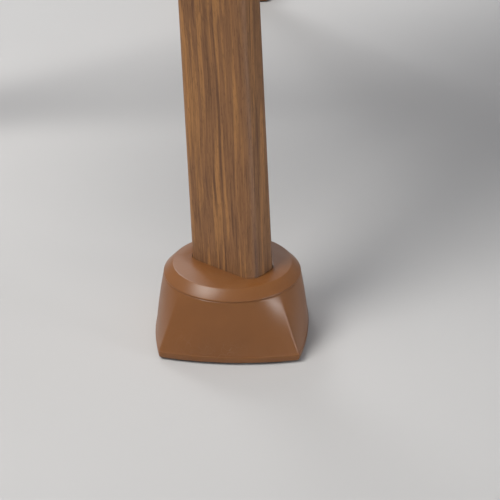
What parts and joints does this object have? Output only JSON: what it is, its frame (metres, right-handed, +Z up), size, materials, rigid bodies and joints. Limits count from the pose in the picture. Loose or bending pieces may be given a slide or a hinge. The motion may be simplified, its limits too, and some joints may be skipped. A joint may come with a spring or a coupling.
{
  "type": "pommel horse",
  "caption": "Padded leather gymnastics horse with sliding wooden pommels, on splayed telescopic legs with wood-grain lower tubes and square swivelling feet.",
  "frame": {"origin": "on the floor, under the middle of the body", "axes": "+Z up, +X along the horse, +Y across it, towards its back; the pictured foot is at the front left corner, at -X and -Y"},
  "size_m": [1.595, 0.9678, 1.2703],
  "materials": {
    "leather": "tan cowhide, semi-matt",
    "foam": "felt and foam padding",
    "plywood": "raw birch plywood",
    "pommel_wood": "sanded laminated ash",
    "steel": "zinc plated steel",
    "chrome": "chrome plated steel tube",
    "painted_frame": "black satin powder coat",
    "walnut_finish": "walnut wood-grain film on steel tube",
    "foot": "moulded caramel brown, satin",
    "rubber": "black rubber sole",
    "knob": "black moulded plastic"
  },
  "bodies": {
    "leg_back_right": {"leg_tube_back_right": "walnut_finish", "leg_head_back_right": "painted_frame", "leg_plug_back_right": "steel", "foot_collar_back_right": "foot"},
    "horse": {"leather_cover": "leather", "foam_padding": "foam", "top_deck": "plywood", "bottom_board": "plywood", "side_board_front": "plywood", "side_board_back": "plywood", "end_block_left": "plywood", "end_block_right": "plywood", "pommel_rail_front": "steel", "pommel_rail_back": "steel", "cross_head_left": "painted_frame", "cross_head_right": "painted_frame", "spine_beam": "painted_frame", "tensioner_eye": "painted_frame", "upper_tube_front_left": "chrome", "upper_tube_front_right": "chrome", "upper_tube_back_left": "chrome", "upper_tube_back_right": "chrome"},
    "leg_front_left": {"leg_tube_front_left": "walnut_finish", "leg_head_front_left": "painted_frame", "leg_plug_front_left": "steel", "foot_collar_front_left": "foot"},
    "leg_front_right": {"leg_tube_front_right": "walnut_finish", "leg_head_front_right": "painted_frame", "leg_plug_front_right": "steel", "foot_collar_front_right": "foot"},
    "leg_back_left": {"leg_tube_back_left": "walnut_finish", "leg_head_back_left": "painted_frame", "leg_plug_back_left": "steel", "foot_collar_back_left": "foot"},
    "foot_front_left": {"foot_shell_front_left": "foot", "foot_sole_front_left": "rubber"},
    "foot_front_right": {"foot_shell_front_right": "foot", "foot_sole_front_right": "rubber"},
    "foot_back_left": {"foot_shell_back_left": "foot", "foot_sole_back_left": "rubber"},
    "foot_back_right": {"foot_shell_back_right": "foot", "foot_sole_back_right": "rubber"},
    "plunger_front_left": {"lock_plunger_front_left": "steel"},
    "knob_front_left": {"clamp_knob_front_left": "knob"},
    "plunger_front_right": {"lock_plunger_front_right": "steel"},
    "knob_front_right": {"clamp_knob_front_right": "knob"},
    "plunger_back_left": {"lock_plunger_back_left": "steel"},
    "knob_back_left": {"clamp_knob_back_left": "knob"},
    "plunger_back_right": {"lock_plunger_back_right": "steel"},
    "knob_back_right": {"clamp_knob_back_right": "knob"},
    "pommel_left": {"pommel_grip_left": "pommel_wood", "pommel_flange_left_front": "painted_frame", "pommel_flange_left_back": "painted_frame", "pommel_bolt_left_front": "steel", "pommel_bolt_left_back": "steel"},
    "pommel_right": {"pommel_grip_right": "pommel_wood", "pommel_flange_right_front": "painted_frame", "pommel_flange_right_back": "painted_frame", "pommel_bolt_right_front": "steel", "pommel_bolt_right_back": "steel"}
  },
  "joints": [
    {"name": "height_adjust", "type": "slide", "parent": "leg_back_right", "child": "horse", "axis": [-0.185, -0.2157, 0.9588], "range_m": [-0.2086, 0.1043]},
    {"name": "leg_extend_front_left", "type": "slide", "parent": "horse", "child": "leg_front_left", "axis": [-0.185, -0.2157, -0.9588], "range_m": [-0.2086, 0.1043]},
    {"name": "leg_extend_front_right", "type": "slide", "parent": "horse", "child": "leg_front_right", "axis": [0.185, -0.2157, -0.9588], "range_m": [-0.2086, 0.1043]},
    {"name": "leg_extend_back_left", "type": "slide", "parent": "horse", "child": "leg_back_left", "axis": [-0.185, 0.2157, -0.9588], "range_m": [-0.2086, 0.1043]},
    {"name": "foot_turn_front_left", "type": "hinge", "parent": "leg_front_left", "child": "foot_front_left", "pos_m": [-0.465, -0.392, 0.0275], "axis": [0, 0, 1], "range_deg": [-45, 45]},
    {"name": "foot_turn_front_right", "type": "hinge", "parent": "leg_front_right", "child": "foot_front_right", "pos_m": [0.465, -0.392, 0.0275], "axis": [0, 0, 1], "range_deg": [-45, 45]},
    {"name": "foot_turn_back_left", "type": "hinge", "parent": "leg_back_left", "child": "foot_back_left", "pos_m": [-0.465, 0.392, 0.0275], "axis": [0, 0, 1], "range_deg": [-45, 45]},
    {"name": "foot_turn_back_right", "type": "hinge", "parent": "leg_back_right", "child": "foot_back_right", "pos_m": [0.465, 0.392, 0.0275], "axis": [0, 0, 1], "range_deg": [-45, 45]},
    {"name": "plunger_pull_front_left", "type": "slide", "parent": "leg_front_left", "child": "plunger_front_left", "axis": [-0.9819, 0, 0.1895], "range_m": [0, 0.008], "stiffness_N_per_m": 1500, "springref_m": -0.006},
    {"name": "knob_turn_front_left", "type": "hinge", "parent": "leg_front_left", "child": "knob_front_left", "pos_m": [-0.37803, -0.29061, 0.52362], "axis": [0.0409, -0.9765, 0.2118], "range_deg": [0, 180]},
    {"name": "plunger_pull_front_right", "type": "slide", "parent": "leg_front_right", "child": "plunger_front_right", "axis": [0.9819, 0, 0.1895], "range_m": [0, 0.008], "stiffness_N_per_m": 1500, "springref_m": -0.006},
    {"name": "knob_turn_front_right", "type": "hinge", "parent": "leg_front_right", "child": "knob_front_right", "pos_m": [0.37803, -0.29061, 0.52362], "axis": [-0.0409, -0.9765, 0.2118], "range_deg": [0, 180]},
    {"name": "plunger_pull_back_left", "type": "slide", "parent": "leg_back_left", "child": "plunger_back_left", "axis": [-0.9819, 0, 0.1895], "range_m": [0, 0.008], "stiffness_N_per_m": 1500, "springref_m": -0.006},
    {"name": "knob_turn_back_left", "type": "hinge", "parent": "leg_back_left", "child": "knob_back_left", "pos_m": [-0.37803, 0.29061, 0.52362], "axis": [0.0409, 0.9765, 0.2118], "range_deg": [0, 180]},
    {"name": "plunger_pull_back_right", "type": "slide", "parent": "leg_back_right", "child": "plunger_back_right", "axis": [0.9819, 0, 0.1895], "range_m": [0, 0.008], "stiffness_N_per_m": 1500, "springref_m": -0.006},
    {"name": "knob_turn_back_right", "type": "hinge", "parent": "leg_back_right", "child": "knob_back_right", "pos_m": [0.37803, 0.29061, 0.52362], "axis": [-0.0409, 0.9765, 0.2118], "range_deg": [0, 180]},
    {"name": "pommel_slide_left", "type": "slide", "parent": "horse", "child": "pommel_left", "axis": [1, 0, 0], "range_m": [-0.0125, 0.0125]},
    {"name": "pommel_slide_right", "type": "slide", "parent": "horse", "child": "pommel_right", "axis": [1, 0, 0], "range_m": [-0.0125, 0.0125]}
  ],
  "couplings": [
    {"joint": "leg_extend_front_left", "follows": "height_adjust", "ratio": 1},
    {"joint": "leg_extend_front_right", "follows": "height_adjust", "ratio": 1},
    {"joint": "leg_extend_back_left", "follows": "height_adjust", "ratio": 1}
  ]
}
